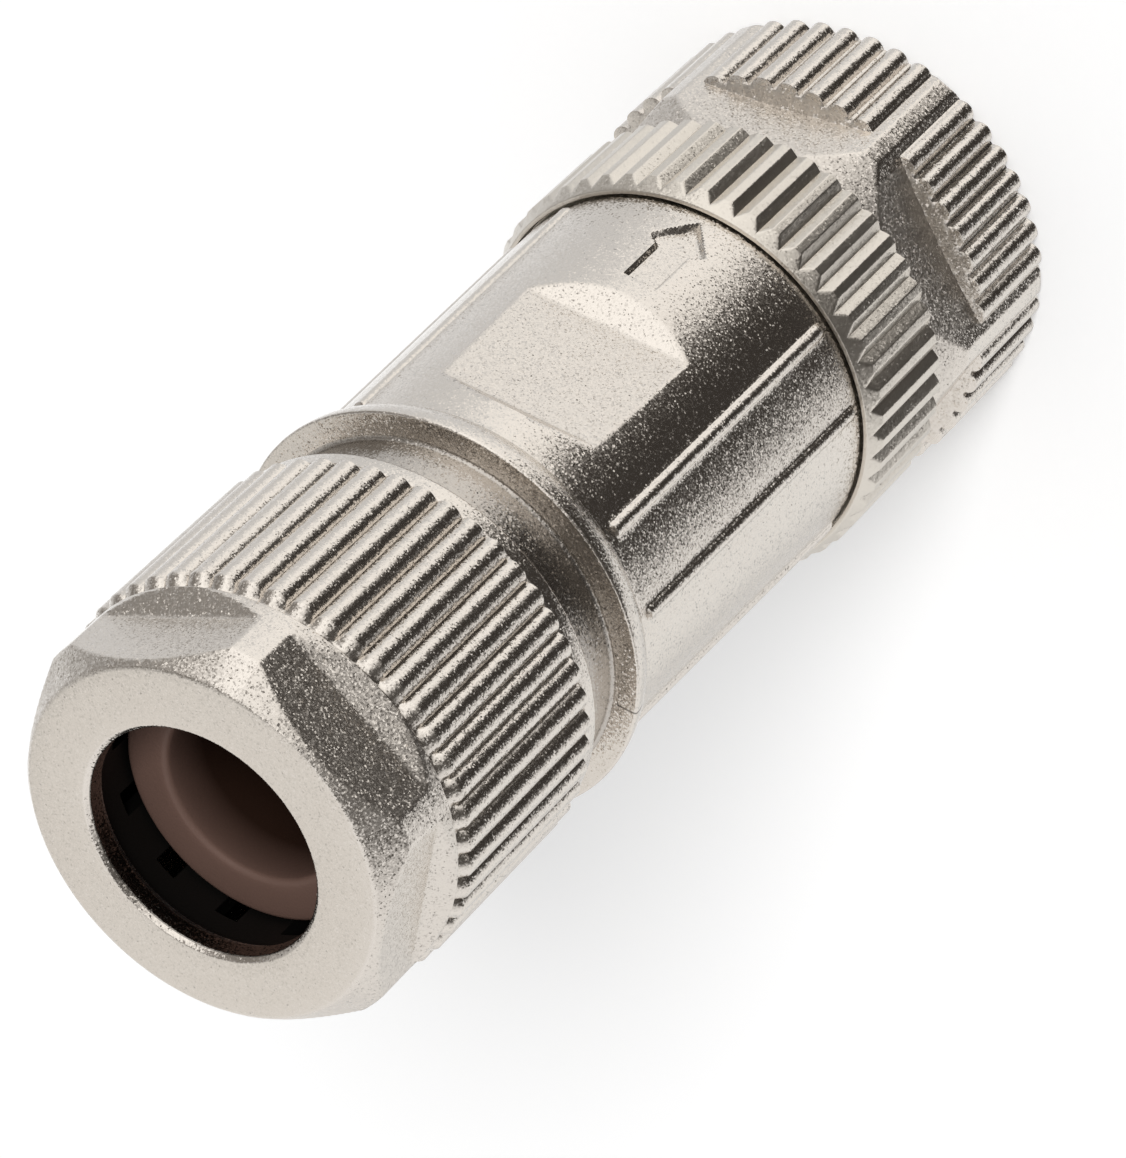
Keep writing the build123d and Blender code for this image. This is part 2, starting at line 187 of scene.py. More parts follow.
def cutGrooves(size, radius, angle, x, y, z):
    off = fromNearest(angle, size["Count"], size["Turn"])
    side = (off.math("SINE") * size["Bottom"]).math("ABSOLUTE")
    groove = size["Bottom"] + side * size["Slope"]
    outer = (radius > size["From radius"]) * (z > size["Low"]) * (z < size["High"])
    return radius + (radius.math("SMOOTH_MIN", groove, size["Rounding"]) - radius) * outer


def cutThread(size, radius, angle, x, y, z):
    turns = z / size["Pitch"] - angle / (2 * pi) + 0.5
    tooth = turns.math("PINGPONG", 0.5) * 2
    depth = ((tooth - size["Crest"]) * size["Flank"]).clip() * size["Depth"]
    start = (beyond(z, size["Low"]) / size["Run out"]).clip()
    end = (beyond(size["High"], z) / size["Run out"]).clip()
    wall = (radius - size["Wall"]).math("ABSOLUTE") < size["Reach"]
    return radius + depth * (start * end) * wall


def sinkArrow(size, radius, angle, x, y, z):
    up = z - size["Tip"]
    side = x.math("ABSOLUTE")
    head = up * (size["Half width"] / size["Head"]) - side
    barbs = size["Head"] + (size["Half width"] - side) * size["Barb"] - up
    stem = (size["Stem"] - side).math("MINIMUM", size["Length"] - up).math("MINIMUM", up - size["Head"])
    inside = head.math("MINIMUM", barbs).math("MAXIMUM", stem) / size["Edge"] + 0.5
    mask = inside.clip() * (y < 0.0) * (radius > size["From radius"])
    floor = size["Floor"] * radius / y.math("ABSOLUTE")
    return radius + (radius.math("MINIMUM", floor) - radius) * mask


radialTrees = {
    "flats": radialTree(
        "cutFlats",
        ["Count", "Turn", "Distance", "Low", "High", "Low ramp", "High ramp", "Rounding"],
        cutFlats,
    ),
    "ribs": radialTree(
        "raiseRibs",
        [
            "Count", "Turn", "Centre", "Taper", "Radius", "Low", "High", "Low slope", "High slope",
            "Pads", "Pad half", "From radius", "Limit", "Rounding",
        ],
        raiseRibs,
    ),
    "grooves": radialTree(
        "cutGrooves",
        ["Count", "Turn", "Bottom", "Slope", "Low", "High", "From radius", "Rounding"],
        cutGrooves,
    ),
    "thread": radialTree(
        "cutThread",
        ["Pitch", "Depth", "Crest", "Flank", "Low", "High", "Run out", "Wall", "Reach"],
        cutThread,
    ),
    "arrow": radialTree(
        "sinkArrow",
        ["Tip", "Head", "Half width", "Barb", "Stem", "Length", "Edge", "Floor", "From radius"],
        sinkArrow,
    ),
}


# Every thread has the same form; its depth is negative where it is cut from outside
thread = {"pitch": 1.0, "crest": 0.12, "flank": 1.35, "runOut": 0.3, "reach": 0.12}


def threadStep(wall, depth, low, high):
    return ("thread", {
        "Pitch": thread["pitch"] * mm, "Depth": depth * mm, "Crest": thread["crest"],
        "Flank": thread["flank"], "Low": low * mm, "High": high * mm,
        "Run out": thread["runOut"] * mm, "Wall": wall * mm, "Reach": thread["reach"] * mm,
    })


# How closely the turned pieces are drawn
arcStep = radians(24)  # turn of a fillet from one point to the next
straightHalf = radians(89)  # a corner that opens wider than twice this gets no fillet
sharpAngle = radians(34)  # edges that turn more than this stay sharp


def evenAngles(count, turn=0.0):
    return [turn + 2 * pi * n / count for n in range(count)]


def roundedProfile(corners):
    # corners are (radius, height, fillet, step): the fillet rounds the corner,
    # and the step divides the run after it
    points = []
    count = len(corners)
    trimmed = []
    for n, corner in enumerate(corners):
        here = Vector(corner[:2])
        before = (Vector(corners[n - 1][:2]) - here).normalized()
        after = (Vector(corners[(n + 1) % count][:2]) - here).normalized()
        half = acos(max(-1.0, min(1.0, before.dot(after)))) / 2
        fillet = corner[2]
        if fillet and half < straightHalf:
            reach = fillet / tan(half)
            centre = here + (before + after).normalized() * (fillet / sin(half))
            start, end = here + before * reach, here + after * reach
            sweep = pi - 2 * half
            arcs = max(2, ceil(sweep / arcStep))
            arc = []
            for k in range(arcs + 1):
                share = k / arcs
                mid = (start - centre).lerp(end - centre, share)
                lean = (start - centre).slerp(end - centre, share) if mid.length else mid
                arc.append(centre + lean.normalized() * fillet)
            trimmed.append(arc)
        else:
            trimmed.append([here])
    for n, corner in enumerate(corners):
        points += [tuple(p) for p in trimmed[n]]
        start, end = trimmed[n][-1], trimmed[(n + 1) % count][0]
        if corner[3]:
            rows = max(1, ceil((end - start).length / corner[3]))
            points += [tuple(start.lerp(end, k / rows)) for k in range(1, rows)]
    return points


def turnedMesh(name, profile, angles):
    # the profile is closed and runs up the outside; faces point outwards
    circle = [(cos(a) * mm, sin(a) * mm) for a in angles]
    vertices = [(r * c, r * s, z * mm) for r, z in profile for c, s in circle]
    around, rows = len(angles), len(profile)
    faces = []
    for row in range(rows):
        low, high = row * around, (row + 1) % rows * around
        for k in range(around):
            k2 = (k + 1) % around
            faces.append((low + k, low + k2, high + k2, high + k))
    mesh = bpy.data.meshes.new(name)
    mesh.from_pydata(vertices, [], faces)
    return mesh


def shapedPiece(name, mesh, steps, material):
    # runs the radial trees on the mesh and keeps the result as a plain mesh
    draft = bpy.data.objects.new(name + "Draft", mesh)
    bpy.context.scene.collection.objects.link(draft)
    for kind, sizes in steps:
        modifier = draft.modifiers.new(kind, "NODES")
        modifier.node_group = radialTrees[kind]
        for item in radialTrees[kind].interface.items_tree:
            if item.in_out == "INPUT" and item.name in sizes:
                modifier[item.identifier] = float(sizes[item.name])
            if item.in_out == "INPUT" and item.name == "Material":
                modifier[item.identifier] = material
    dependencies = bpy.context.evaluated_depsgraph_get()
    finished = bpy.data.meshes.new_from_object(draft.evaluated_get(dependencies))
    finished.name = name
    if not steps:
        finished.materials.append(material)
    finished.polygons.foreach_set("use_smooth", [True] * len(finished.polygons))
    finished.set_sharp_from_angle(angle=sharpAngle)
    piece = bpy.data.objects.new(name, finished)
    bpy.context.scene.collection.objects.link(piece)
    bpy.data.objects.remove(draft)
    return piece


def fit(piece, node, body):
    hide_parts(node)
    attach(piece, body)


def nodeHeights(node):
    low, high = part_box(node)
    return low.z / mm, high.z / mm


def towards(frontAngle):
    # angle from +X of a direction counted from the front, -Y
    return radians(frontAngle - 90)


# Materials
def newMaterial(name):
    material = bpy.data.materials.new(name)
    material.use_nodes = True
    material.node_tree.nodes.clear()
    return material, Tree(material.node_tree)


def closeMaterial(material, tree, shader):
    tree.close("ShaderNodeOutputMaterial", "Surface", shader)
    return material


def noise(tree, place, scale, detail=3.0, roughness=0.55):
    return tree.add(
        "ShaderNodeTexNoise",
        values={"Vector": place, "Scale": scale, "Detail": detail, "Roughness": roughness},
    )


def mixColour(tree, share, first, second):
    # the mix node's colour sockets are its seventh and eighth
    colours = {0: share, 6: first, 7: second}
    return tree.add("ShaderNodeMix", {"data_type": "RGBA"}, colours, output=2)


# Grain sizes and depths are in millimetres, cloud scales are clouds in a metre
# the last share is how dark painted shade and seams make the plating
plating = {
    "cloudScale": 180.0, "cloudRoughness": 0.08, "grainSize": 0.07, "leanAll": 32,
    "leanEven": 0.1, "leanGlint": 0.6, "coarseLean": 0.4, "coarseRoughness": 0.1,
    "fineSize": 0.16, "fineDepth": 0.008, "shadeAndSeamShare": 0.42,
}
castFinish = {"tone": (0.80, 0.755, 0.70), "shade": (0.75, 0.70, 0.645), "roughness": 0.23, "lean": 0.26}
turnedFinish = {"tone": (0.79, 0.745, 0.68), "shade": (0.73, 0.685, 0.62), "roughness": 0.33, "lean": 0.16}
steelFinish = {"tone": (0.62, 0.62, 0.61), "shade": (0.55, 0.55, 0.55), "roughness": 0.28, "lean": 0.15}


def nickel(name, finish, coarse=None, paintedShadeAndSeam=None):
    # matt plating: every grain leans its own way, a few of them far enough to glint
    p = plating
    material, tree = newMaterial(name)
    place = tree.add("ShaderNodeTexCoord", output="Object")
    x, y, z = tree.split(place)
    radius = (x * x + y * y).math("SQRT")
    cloud = noise(tree, place, p["cloudScale"], detail=4.0)
    fine = noise(tree, place, 1 / (p["fineSize"] * mm), detail=2.0, roughness=0.6)
    cells = {"Vector": place, "Scale": 1 / (p["grainSize"] * mm)}
    grains = tree.add("ShaderNodeTexVoronoi", values=cells, output="Color")
    rough = coarse(x, y, z, radius) if coarse else 0.0
    amount = p["leanAll"] * finish["lean"] * (rough * p["coarseLean"] + 1.0)
    leans = []
    for part in tree.split(grains):
        off = part - 0.5
        leans.append(off * off * off * (off * off * p["leanGlint"] + p["leanEven"]) * amount)
    sideways = tree.add("ShaderNodeCombineXYZ", values=leans)
    surface = tree.add("ShaderNodeNewGeometry", output="Normal")
    leaning = tree.add("ShaderNodeVectorMath", {"operation": "ADD"}, [surface, sideways])
    normal = tree.add("ShaderNodeVectorMath", {"operation": "NORMALIZE"}, [leaning])
    relief = {"Strength": 1.0, "Distance": p["fineDepth"] * mm, "Height": fine, "Normal": normal}
    colour = mixColour(tree, cloud, (*finish["shade"], 1), (*finish["tone"], 1))
    # painted shade, and any seam, from the mask: the colour goes darker there
    if paintedShadeAndSeam:
        shadeAndSeamColour = tuple(p["shadeAndSeamShare"] * part for part in finish["shade"])
        colour = mixColour(tree, paintedShadeAndSeam(x, y, z, radius), colour, (*shadeAndSeamColour, 1))
    spread = rough * p["coarseRoughness"] + (cloud - 0.5) * p["cloudRoughness"]
    shader = tree.add(
        "ShaderNodeBsdfPrincipled",
        values={
            "Base Color": colour,
            "Metallic": 1.0,
            "Roughness": spread + finish["roughness"],
            "Normal": tree.add("ShaderNodeBump", values=relief),
        },
    )
    return closeMaterial(material, tree, shader)


plainSkin = {"cloudScale": 220.0, "darkShare": 0.82, "spread": 0.15, "specular": 0.15}


def plain(name, colour, roughness, metallic, depth, grainSize):
    material, tree = newMaterial(name)
    place = tree.add("ShaderNodeTexCoord", output="Object")
    fine = noise(tree, place, 1 / (grainSize * mm), roughness=0.6)
    cloud = noise(tree, place, plainSkin["cloudScale"])
    darker = tuple(part * plainSkin["darkShare"] for part in colour)
    relief = {"Strength": 1.0, "Distance": depth * mm, "Height": fine}
    shader = tree.add(
        "ShaderNodeBsdfPrincipled",
        values={
            "Base Color": mixColour(tree, cloud, (*darker, 1), (*colour, 1)),
            "Metallic": metallic,
            "Roughness": roughness + (fine - 0.5) * plainSkin["spread"],
            "Specular IOR Level": plainSkin["specular"],
            "Normal": tree.add("ShaderNodeBump", values=relief),
        },
    )
    return closeMaterial(material, tree, shader)


# inside is the colour of the painted shade deep in the bore
sealSkin = {
    "colour": (0.175, 0.105, 0.083), "darkShare": 0.84, "inside": (0.03, 0.015, 0.01),
    "innerRadius": 4.4, "innerFade": 0.25, "top": 51.2, "fade": 2.6, "cloudScale": 260.0,
    "grainSize": 0.15, "depth": 0.015, "roughness": 0.42, "spread": 0.15, "specular": 0.3,
}


def softRubber(name, s):
    # the bore is smooth from its mould; painted shade darkens it inwards
    material, tree = newMaterial(name)
    place = tree.add("ShaderNodeTexCoord", output="Object")
    x, y, z = tree.split(place)
    radius = (x * x + y * y).math("SQRT")
    within = ((s["innerRadius"] * mm - radius) / (s["innerFade"] * mm) + 1.0).clip()
    deep = ((s["top"] * mm - z) / (s["fade"] * mm)).clip()
    cloud = noise(tree, place, s["cloudScale"])
    fine = noise(tree, place, 1 / (s["grainSize"] * mm), roughness=0.6)
    darker = tuple(part * s["darkShare"] for part in s["colour"])
    skin = mixColour(tree, cloud, (*darker, 1), (*s["colour"], 1))
    relief = {"Strength": 1.0, "Distance": s["depth"] * mm, "Height": fine}
    shader = tree.add(
        "ShaderNodeBsdfPrincipled",
        values={
            "Base Color": mixColour(tree, within * deep, skin, (*s["inside"], 1)),
            "Roughness": s["roughness"] + (fine - 0.5) * s["spread"],
            "Specular IOR Level": s["specular"],
            "Normal": tree.add("ShaderNodeBump", values=relief),
        },
    )
    return closeMaterial(material, tree, shader)


turnedNickel = nickel("turnedNickel", turnedFinish)
springSteel = nickel("springSteel", steelFinish)
giltBrass = plain("giltBrass", (0.90, 0.66, 0.28), 0.25, 1.0, 0.004, 0.05)
blackPlastic = plain("blackPlastic", (0.006, 0.0055, 0.005), 0.36, 0.0, 0.008, 0.08)
sealRubber = softRubber("sealRubber", sealSkin)
ringRubber = plain("ringRubber", (0.02, 0.02, 0.02), 0.55, 0.0, 0.01, 0.1)
print("materials made")


# Gland nut: hexagon at the cable end, grip ribs below it
glandNut = {
    "faceRadius": 8.5, "cornerRadius": 9.72, "chamfer": 1.35, "land": 4.45, "root": 9.45,
    "ribCentre": 9.31, "ribRadius": 0.69, "ribCount": 48, "ribTurn": 4.6, "ribFall": 5.06,
    "ribEnd": 14.6, "ringRadius": 9.7, "flat": 8.75, "flatTurn": 28.6, "flatLength": 3.6,
    "flatRamp": 0.83, "flatEdge": 0.05, "bore": 5.55, "boreChamfer": 0.22, "wall": 1.0,
    "chamber": 7.85, "chamberEnd": 6.5, "threadBore": 8.82,
    "ringStep": 0.12, "rootStep": 0.1, "plainEnd": 0.3, "fallRows": 0.75, "landStep": 0.2,
    "ribLimit": 10, "ribEdge": 0.24, "ribLowSlope": 8, "ribHighSlope": 0.9, "ribSink": 0.1,
    "coarseAngle": 26, "coarseInset": 0.05, "boreShadeReach": 0.04, "around": 960,
}


def makeGlandNut(s):
    low, top = nodeHeights("gland_nut")
    corners = [
        (s["ringRadius"], low, 0.18, 0),
        (s["ringRadius"], top - s["ribEnd"] - s["ringStep"], 0.05, 0.06),
        (s["root"], top - s["ribEnd"] + s["rootStep"], 0.05, 0),
        (s["root"], top - s["ribEnd"] + s["plainEnd"], 0, 0),
        (s["root"], top - s["ribFall"] - s["fallRows"], 0, 0.07),
        (s["root"], top - s["land"] - s["landStep"], 0.1, 0.05),
        (s["cornerRadius"], top - s["land"], 0.08, 0.13),
        (s["cornerRadius"], top - s["chamfer"], 0.2, 0.16),
        (s["faceRadius"], top, 0.3, 0.9),
        (s["bore"] + s["boreChamfer"], top, 0.12, 0.12),
        (s["bore"], top - s["boreChamfer"], 0.08, 0),
        (s["bore"], top - s["wall"], 0.05, 0),
        (s["chamber"], top - s["wall"], 0.1, 0),
        (s["chamber"], top - s["chamberEnd"], 0, 0),
        (s["threadBore"], top - s["chamberEnd"], 0, 0),
        (s["threadBore"], low, 0.1, 0),
    ]
    steps = [
        ("flats", {
            "Count": 6, "Turn": towards(s["flatTurn"]), "Distance": s["flat"] * mm,
            "Low": (top - s["flatLength"]) * mm, "High": noEnd,
            "Low ramp": s["flatRamp"], "High ramp": 1, "Rounding": s["flatEdge"] * mm,
        }),
        ("ribs", {
            "Count": s["ribCount"], "Turn": towards(s["ribTurn"]), "Centre": s["ribCentre"] * mm,
            "Radius": s["ribRadius"] * mm, "Low": (top - s["ribEnd"]) * mm,
            "High": (top - s["ribFall"] - s["ribSink"]) * mm, "Low slope": s["ribLowSlope"],
            "High slope": s["ribHighSlope"], "Pads": 1, "Pad half": allRound,
            "From radius": (s["root"] - s["ribSink"]) * mm, "Limit": s["ribLimit"] * mm,
            "Rounding": s["ribEdge"] * mm,
        }),
    ]

    def coarse(x, y, z, radius):
        # the flats, between the face and the land
        off = fromNearest(y.math("ARCTAN2", x), 6, towards(s["flatTurn"])).math("ABSOLUTE")
        outside = radius > (s["faceRadius"] + s["coarseInset"]) * mm
        return (z > (top - s["land"]) * mm) * outside * (off < radians(s["coarseAngle"]))

    def paintedShadeAndSeam(x, y, z, radius):
        # painted shade inside the bore: its wall is darkened
        return radius < (s["bore"] + s["boreShadeReach"]) * mm

    metal = nickel("glandNickel", castFinish, coarse, paintedShadeAndSeam)
    angles = evenAngles(s["around"], towards(s["ribTurn"]))
    mesh = turnedMesh("glandNut", roundedProfile(corners), angles)
    piece = shapedPiece("glandNut", mesh, steps, metal)
    fit(piece, "gland_nut", "gland")


makeGlandNut(glandNut)
print("gland nut made")


# Sleeve housing: barrel, collar, neck and gland thread
sleeve = {
    "front": 9.55, "rear": 9.25, "collar": 10.06, "collarLength": 1.9, "bulge": 0.2, "thread": 8.72,
    "neckLength": 3.4, "threadLength": 9.1, "mouth": 7.75, "mouthDepth": 0.6, "bore": 7.4,
    "boreDepth": 7.1, "shoulder": 5.2, "shoulderLength": 2.1, "sleeveBore": 7.8,
    "ringPocket": 8.52, "pocketDepth": 0.86,
    "flat": 8.46, "flatFromRear": 4.8, "flatLength": 7.45, "flatRamp": 1.35, "arrowGap": 0.72,
    "arrowLength": 5.07, "arrowHead": 1.8, "arrowBarb": 0.52, "arrowHalf": 1.37, "arrowStem": 0.8,
    "arrowDepth": 0.34, "arrowEdge": 0.13, "arrowFrom": 9.1, "flatEdge": 0.04,
    "beads": (44, 69.5), "beadRadius": 0.42, "beadSink": 0.22, "beadEnd": 0.55, "beadSlope": 6,
    "beadHalf": 0.05, "beadFrom": 9.0, "beadLimit": 9.95, "beadEdge": 0.03,
    "recess": 0.9, "threadDepth": 0.5, "threadOver": 0.2, "bulgeRows": 8, "frontRows": 0.4,
    "edgeRow": 0.02, "rearRows": (0.75, 0.35), "pocketHalf": 4, "neckShadeReach": 0.2, "neckStart": 0.1,
    "neckShade": 0.5, "seamHalf": 0.05, "seamLength": 0.9, "seamFrom": 0.35,
    "denseArcs": ((0, 9, 0.35), (0, 28, 0.8), (180, 28, 0.8)),  # middle, half and step in degrees
    "beadStep": 0.3, "beadSteps": 8, "sideStep": 2, "leastStep": 0.28,
}


def beadPlaces(s):
    # each bead stands on both sides of the arrow and again at the back
    return [place for bead in s["beads"] for place in (bead, -bead, 180 - bead, bead - 180)]


def sleeveAngles(s):
    # close together at the arrow, the flats and the beads
    marks = []
    for centre, half, step in s["denseArcs"]:
        marks += [centre - half + step * n for n in range(int(2 * half / step) + 1)]
    for place in beadPlaces(s):
        marks += [place + s["beadStep"] * n for n in range(-s["beadSteps"], s["beadSteps"] + 1)]
    marks += [s["sideStep"] * n for n in range(360 // s["sideStep"])]
    marks = sorted(round(m % 360, 3) for m in marks)
    kept = [marks[0]]
    for m in marks[1:]:
        if m - kept[-1] > s["leastStep"]:
            kept.append(m)
    return [towards(m) for m in kept]


def makeSleeve(s):
    low, high = nodeHeights("sleeve_housing")
    collarRear = high - s["threadLength"]
    barrelEnd = collarRear - s["collarLength"]
    shellRear = low + s["recess"]
    flatHigh = collarRear - s["flatFromRear"]
    flatLow = flatHigh - s["flatLength"]
    floor = high - s["boreDepth"]
    shoulderLow = floor - s["shoulderLength"]
    chord = Vector((s["collar"] - s["rear"], s["collarLength"]))
    outwards = Vector((chord.y, -chord.x)).normalized()
    arc = []
    for n in range(1, s["bulgeRows"]):
        share = n / s["bulgeRows"]
        point = Vector((s["rear"], barrelEnd)) + chord * share
        point += outwards * s["bulge"] * 4 * share * (1 - share)
        arc.append((point.x, point.y, 0, 0))

    def barrel(height):
        return s["front"] + (s["rear"] - s["front"]) * (height - low) / (barrelEnd - low)

    def row(height, step):
        return barrel(height), height, 0, step

    corners = [
        (s["front"], low, 0.05, 0),
        row(shellRear + s["frontRows"], 0.14),
        row(flatHigh - s["edgeRow"], 0),
        row(flatHigh + s["edgeRow"], 0.4),
        row(barrelEnd - s["rearRows"][0], 0.1),
        row(barrelEnd - s["rearRows"][1], 0),
        (s["rear"], barrelEnd, 0.05, 0),
        *arc,
        (s["collar"], collarRear, 0.12, 0),
        (s["thread"], collarRear, 0.2, 0),
        (s["thread"], collarRear + s["neckLength"], 0, 0.1),
        (s["thread"], high, 0.05, 0),
        (s["mouth"], high, 0.05, 0),
        (s["bore"], high - s["mouthDepth"], 0.1, 0),
        (s["bore"], floor, 0, 0),
        (s["shoulder"], floor, 0.1, 0),
        (s["shoulder"], shoulderLow, 0.1, 0),
        (s["sleeveBore"], shoulderLow, 0, 0),
        (s["sleeveBore"], low + s["pocketDepth"], 0, 0),
        (s["ringPocket"], low + s["pocketDepth"], 0, 0),
        (s["ringPocket"], low, 0.05, 0),
    ]
    steps = [
        ("flats", {
            "Count": 2, "Turn": towards(0), "Distance": s["flat"] * mm, "Low": flatLow * mm,
            "High": flatHigh * mm, "Low ramp": s["flatRamp"], "High ramp": s["flatRamp"],
            "Rounding": s["flatEdge"] * mm,
        }),
        ("arrow", {
            "Tip": (shellRear + s["arrowGap"]) * mm, "Head": s["arrowHead"] * mm,
            "Half width": s["arrowHalf"] * mm,
            "Barb": s["arrowBarb"] / (s["arrowHalf"] - s["arrowStem"]),
            "Stem": s["arrowStem"] * mm, "Length": s["arrowLength"] * mm, "Edge": s["arrowEdge"] * mm,
            "Floor": (s["front"] - s["arrowDepth"]) * mm, "From radius": s["arrowFrom"] * mm,
        }),
        threadStep(
            s["thread"], -s["threadDepth"], collarRear + s["neckLength"], high + s["threadOver"]
        ),
    ]
    taper = (s["rear"] - s["front"]) / (barrelEnd - low)
    for place in beadPlaces(s):
        steps.append(("ribs", {
            "Count": 1, "Turn": towards(place), "Centre": (barrel(0) - s["beadSink"]) * mm,
            "Taper": taper, "Radius": s["beadRadius"] * mm, "Low": (shellRear + s["beadEnd"]) * mm,
            "High": (barrelEnd - s["beadEnd"]) * mm, "Low slope": s["beadSlope"],
            "High slope": s["beadSlope"], "Pads": 1, "Pad half": s["beadHalf"],
            "From radius": s["beadFrom"] * mm, "Limit": s["beadLimit"] * mm,
            "Rounding": s["beadEdge"] * mm,
        }))

    def coarse(x, y, z, radius):
        # the floors of the two flats
        deep = y.math("ABSOLUTE") < (s["flat"] + s["edgeRow"]) * mm
        pocket = deep * (x.math("ABSOLUTE") < s["pocketHalf"] * mm)
        return pocket * (z > flatLow * mm) * (z < flatHigh * mm)

    def paintedShadeAndSeam(x, y, z, radius):
        # painted shade on the neck with its thread, in the recess behind the collar, and the fine seam on
        # the collar
        behind = z > (collarRear - s["neckStart"]) * mm
        neck = (radius < (s["thread"] + s["neckShadeReach"]) * mm) * behind
        line = (y.math("ABSOLUTE") < s["seamHalf"] * mm) * (z > (collarRear - s["seamLength"]) * mm)
        seam = line * (z < (collarRear + s["neckStart"]) * mm)
        return neck * s["neckShade"] + seam * (radius > (s["thread"] + s["seamFrom"]) * mm)

    metal = nickel("sleeveNickel", castFinish, coarse, paintedShadeAndSeam)
    mesh = turnedMesh("sleeveHousing", roundedProfile(corners), sleeveAngles(s))
    piece = shapedPiece("sleeveHousing", mesh, steps, metal)
    fit(piece, "sleeve_housing", "sleeve")


makeSleeve(sleeve)
print("sleeve housing made")


# Knurled shell: grooved ring, nose for the coupling nut, threaded spigot
shell = {
    "radius": 10.3, "teeth": 50, "bottom": 10.0, "slope": 0.7, "turn": -28.4, "chamfer": 0.75,
    "nose": 7.2, "noseLength": 3.2, "flange": 5.75, "flangeEnd": 6.4, "insertBore": 6.95,
    "spigot": 7.7, "knurlLength": 6.1, "recess": 1.0, "recessRadius": 9.65,
    "rim": 0.2, "ringSetback": 0.5, "ringFloor": 6.5, "ringWidth": 0.8,
    "threadDepth": 0.4, "threadStart": 1.0, "threadOver": 0.2,
    "grooveOver": 0.5, "grooveInset": 0.05, "grooveEdge": 0.025,
    "marks": (0, 0.12, 0.3, 0.9, 1.6, 2.25, 2.45, 2.7, 3.1),  # degrees from a groove's bottom
}


def knurlAngles(s):
    # one tooth: groove bottom, flanks, edges and land
    pitch = 360 / s["teeth"]
    tooth = [*s["marks"], pitch / 2, *[pitch - m for m in reversed(s["marks"][1:])]]
    return [towards(s["turn"] + pitch * n + m) for n in range(s["teeth"]) for m in tooth]


def makeShell(s):
    low, high = nodeHeights("knurled_shell")
    front = low + s["noseLength"]
    rear = front + s["knurlLength"]
    corners = [
        (s["flange"], low, 0.08, 0),
        (s["nose"], low, 0.2, 0),
        (s["nose"], low + s["ringSetback"], 0, 0),
        (s["ringFloor"], low + s["ringSetback"], 0, 0),
        (s["ringFloor"], low + s["ringSetback"] + s["ringWidth"], 0, 0),
        (s["nose"], low + s["ringSetback"] + s["ringWidth"], 0, 0),
        (s["nose"], front, 0.1, 0),
        (s["radius"], front, 0.04, 0),
        (s["radius"], rear - s["chamfer"], 0.06, 0.1),
        (s["recessRadius"] + s["rim"], rear, 0.05, 0),
        (s["recessRadius"], rear, 0.03, 0),
        (s["recessRadius"], rear - s["recess"], 0, 0),
        (s["spigot"], rear - s["recess"], 0, 0),
        (s["spigot"], rear + s["threadStart"], 0, 0.1),
        (s["spigot"], high, 0.05, 0),
        (s["insertBore"], high, 0.05, 0),
        (s["insertBore"], low + s["flangeEnd"], 0, 0),
        (s["flange"], low + s["flangeEnd"], 0, 0),
    ]
    steps = [
        ("grooves", {
            "Count": s["teeth"], "Turn": towards(s["turn"]), "Bottom": s["bottom"] * mm,
            "Slope": s["slope"], "Low": (front - s["grooveOver"]) * mm,
            "High": (rear + s["grooveOver"]) * mm,
            "From radius": (s["recessRadius"] + s["grooveInset"]) * mm,
            "Rounding": s["grooveEdge"] * mm,
        }),
        threadStep(s["spigot"], -s["threadDepth"], rear + s["threadStart"], high + s["threadOver"]),
    ]
    mesh = turnedMesh("knurledShell", roundedProfile(corners), knurlAngles(s))
    piece = shapedPiece("knurledShell", mesh, steps, turnedNickel)
    fit(piece, "knurled_shell", "shell")


makeShell(shell)
print("knurled shell made")


# Coupling nut: hexagon with a ribbed pad on each flat
coupling = {
    "flat": 9.34, "radius": 10.55, "chamfer": 2.15, "rearRadius": 9.5, "turn": 9.1, "padLength": 6.0,
    "padRoot": 10.1, "padSlope": 5, "padPitch": 7.5, "padRibs": 7, "ribRadius": 0.6, "edge": 0.3,
    "mouth": 6.3, "bore": 5.46, "mouthDepth": 0.7, "threadEnd": 5.6, "noseBore": 7.3,
    "ringBore": 8.1, "ringEnd": 1.75, "threadDepth": 0.5, "threadOver": 0.2,
    "padEndRows": 0.4, "padSink": 0.1, "padFrom": 9, "padLimit": 10.2, "padEdge": 0.05,
    "flatEdge": 0.06, "ribPlaces": 48, "ribFoot": 0.05, "ribLowSlope": 1.5, "ribSink": 0.18,
    "ribFrom": 9.2, "ribTrim": 0.01, "ribEdge": 0.08, "halfGap": 0.05,
    "coarseFrom": 0.5, "coarseOver": 0.1, "around": 864,
}


